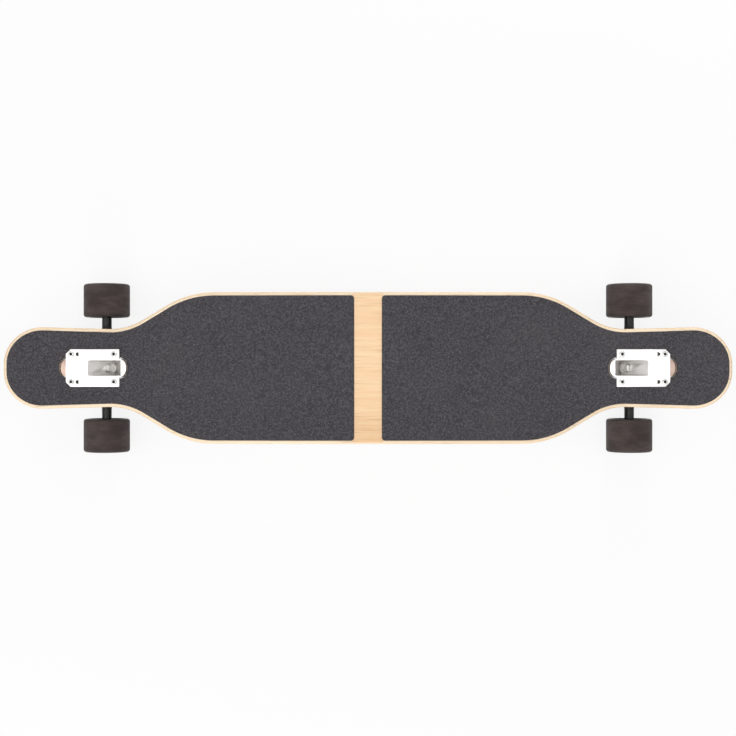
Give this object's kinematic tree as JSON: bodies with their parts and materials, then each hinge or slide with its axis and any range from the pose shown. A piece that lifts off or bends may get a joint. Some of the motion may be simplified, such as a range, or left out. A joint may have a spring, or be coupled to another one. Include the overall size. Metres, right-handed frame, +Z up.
{
  "type": "longboard skateboard",
  "caption": "Cambered drop-through wooden longboard with grip tape, reverse-kingpin trucks that steer on bushings, and ball-bearing urethane wheels.",
  "frame": {"origin": "on the floor under the middle of the board", "axes": "+X along the board to the front, +Y to the left, +Z up"},
  "size_m": [1.08, 0.257, 0.1142],
  "materials": {
    "maple_ply": "clear satin lacquer over laminated plies",
    "grip_tape": "matte abrasive grit",
    "cast_aluminium": "satin cast",
    "black_enamel": "gloss black",
    "zinc_steel": "bright zinc",
    "axle_steel": "dark turned steel",
    "bearing_steel": "ground steel",
    "bearing_rubber": "moulded seal",
    "red_urethane": "semi-gloss cast urethane",
    "pivot_urethane": "semi-gloss cast urethane",
    "black_urethane": "worn matte tread, glossy sides",
    "wheel_core": "moulded"
  },
  "bodies": {
    "board": {"deck": "maple_ply", "front_baseplate": "cast_aluminium", "front_boardside_bushing": "red_urethane", "front_boardside_washer": "zinc_steel", "front_deck_bolts": "zinc_steel", "front_deck_nuts": "zinc_steel", "front_kingpin": "zinc_steel", "front_kingpin_nut": "zinc_steel", "front_pivot_cup": "pivot_urethane", "front_roadside_bushing": "red_urethane", "front_roadside_washer": "zinc_steel", "grip_tape_front": "grip_tape", "grip_tape_rear": "grip_tape", "rear_baseplate": "cast_aluminium", "rear_boardside_bushing": "red_urethane", "rear_boardside_washer": "zinc_steel", "rear_deck_bolts": "zinc_steel", "rear_deck_nuts": "zinc_steel", "rear_kingpin": "zinc_steel", "rear_kingpin_nut": "zinc_steel", "rear_pivot_cup": "pivot_urethane", "rear_roadside_bushing": "red_urethane", "rear_roadside_washer": "zinc_steel"},
    "front_truck_hanger": {"front_axle": "axle_steel", "front_axle_nuts": "zinc_steel", "front_bearing_inner_races": "bearing_steel", "front_bearing_spacers": "bearing_steel", "front_hanger": "black_enamel", "front_speed_washers": "zinc_steel"},
    "front_left_wheel": {"front_left_bearing_balls": "bearing_steel", "front_left_bearing_outer_races": "bearing_steel", "front_left_bearing_shields": "bearing_rubber", "front_left_core": "wheel_core", "front_left_tyre": "black_urethane"},
    "front_right_wheel": {"front_right_bearing_balls": "bearing_steel", "front_right_bearing_outer_races": "bearing_steel", "front_right_bearing_shields": "bearing_rubber", "front_right_core": "wheel_core", "front_right_tyre": "black_urethane"},
    "rear_truck_hanger": {"rear_axle": "axle_steel", "rear_axle_nuts": "zinc_steel", "rear_bearing_inner_races": "bearing_steel", "rear_bearing_spacers": "bearing_steel", "rear_hanger": "black_enamel", "rear_speed_washers": "zinc_steel"},
    "rear_left_wheel": {"rear_left_bearing_balls": "bearing_steel", "rear_left_bearing_outer_races": "bearing_steel", "rear_left_bearing_shields": "bearing_rubber", "rear_left_core": "wheel_core", "rear_left_tyre": "black_urethane"},
    "rear_right_wheel": {"rear_right_bearing_balls": "bearing_steel", "rear_right_bearing_outer_races": "bearing_steel", "rear_right_bearing_shields": "bearing_rubber", "rear_right_core": "wheel_core", "rear_right_tyre": "black_urethane"}
  },
  "joints": [
    {"name": "front_steer", "type": "hinge", "parent": "board", "child": "front_truck_hanger", "pos_m": [0.41093, 0, 0.04802], "axis": [0.6428, 0, 0.766], "range_deg": [-18, 18], "stiffness_Nm_per_rad": 40, "deforming": ["front_boardside_bushing", "front_roadside_bushing"]},
    {"name": "front_left_wheel_spin", "type": "hinge", "parent": "front_truck_hanger", "child": "front_left_wheel", "pos_m": [0.4, 0.103, 0.035], "axis": [0, 1, 0], "continuous": true},
    {"name": "front_right_wheel_spin", "type": "hinge", "parent": "front_truck_hanger", "child": "front_right_wheel", "pos_m": [0.4, -0.103, 0.035], "axis": [0, 1, 0], "continuous": true},
    {"name": "rear_steer", "type": "hinge", "parent": "board", "child": "rear_truck_hanger", "pos_m": [-0.41093, 0, 0.04802], "axis": [-0.6428, 0, 0.766], "range_deg": [-18, 18], "stiffness_Nm_per_rad": 40, "deforming": ["rear_boardside_bushing", "rear_roadside_bushing"]},
    {"name": "rear_left_wheel_spin", "type": "hinge", "parent": "rear_truck_hanger", "child": "rear_left_wheel", "pos_m": [-0.4, 0.103, 0.035], "axis": [0, 1, 0], "continuous": true},
    {"name": "rear_right_wheel_spin", "type": "hinge", "parent": "rear_truck_hanger", "child": "rear_right_wheel", "pos_m": [-0.4, -0.103, 0.035], "axis": [0, 1, 0], "continuous": true}
  ]
}
